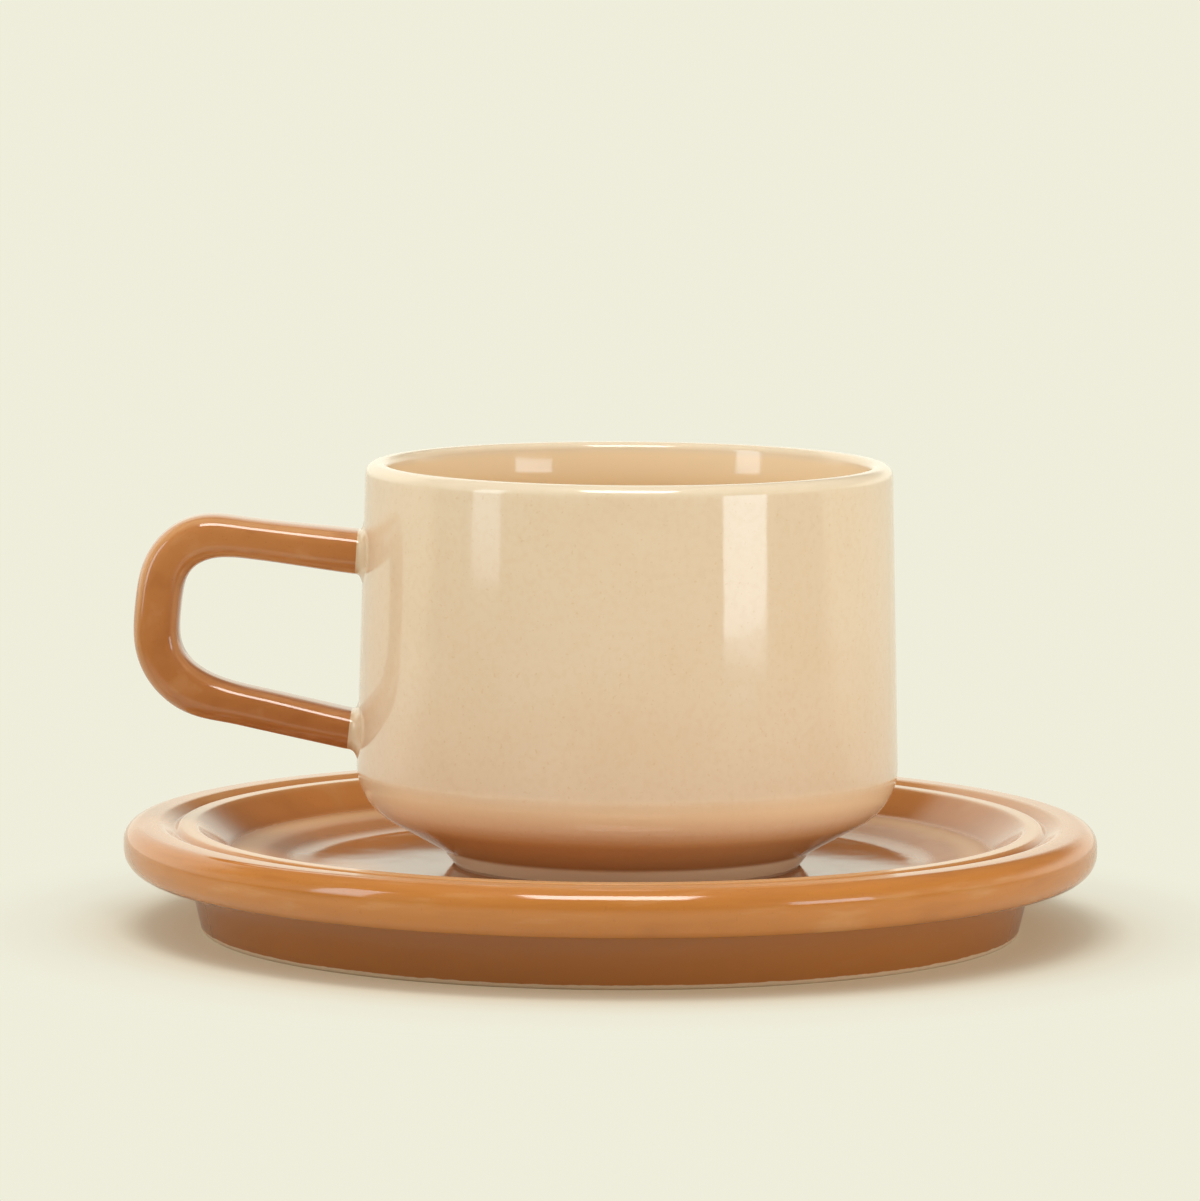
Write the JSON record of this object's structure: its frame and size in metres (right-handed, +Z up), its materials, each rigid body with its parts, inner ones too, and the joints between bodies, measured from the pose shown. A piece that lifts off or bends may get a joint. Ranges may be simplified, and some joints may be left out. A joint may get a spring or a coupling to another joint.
{
  "type": "cup with saucer",
  "caption": "Round stoneware coffee cup with a loop handle and a tapered foot, standing in the well of a saucer with a rolled rim, a beaded inner edge and a foot ring.",
  "frame": {"origin": "on the table, under the centre of the saucer", "axes": "+Z up, the handle points to -X, and -Y is the side that the picture shows"},
  "size_m": [0.15, 0.15, 0.072],
  "materials": {
    "caramel_glaze": "gloss caramel glaze, bare pale clay under the foot ring",
    "cream_glaze": "gloss warm cream glaze, bare pale clay under the foot ring",
    "brown_glaze": "gloss brown glaze",
    "slip_collar": "gloss cream glaze over luting slip"
  },
  "bodies": {
    "saucer": {"saucer": "caramel_glaze"},
    "cup": {"cup_body": "cream_glaze", "handle": "brown_glaze", "upper_slip_joint": "slip_collar", "lower_slip_joint": "slip_collar"}
  },
  "joints": [
    {"name": "cup_lift", "type": "slide", "parent": "saucer", "child": "cup", "axis": [0, 0, 1], "range_m": [0, 0.12]}
  ]
}
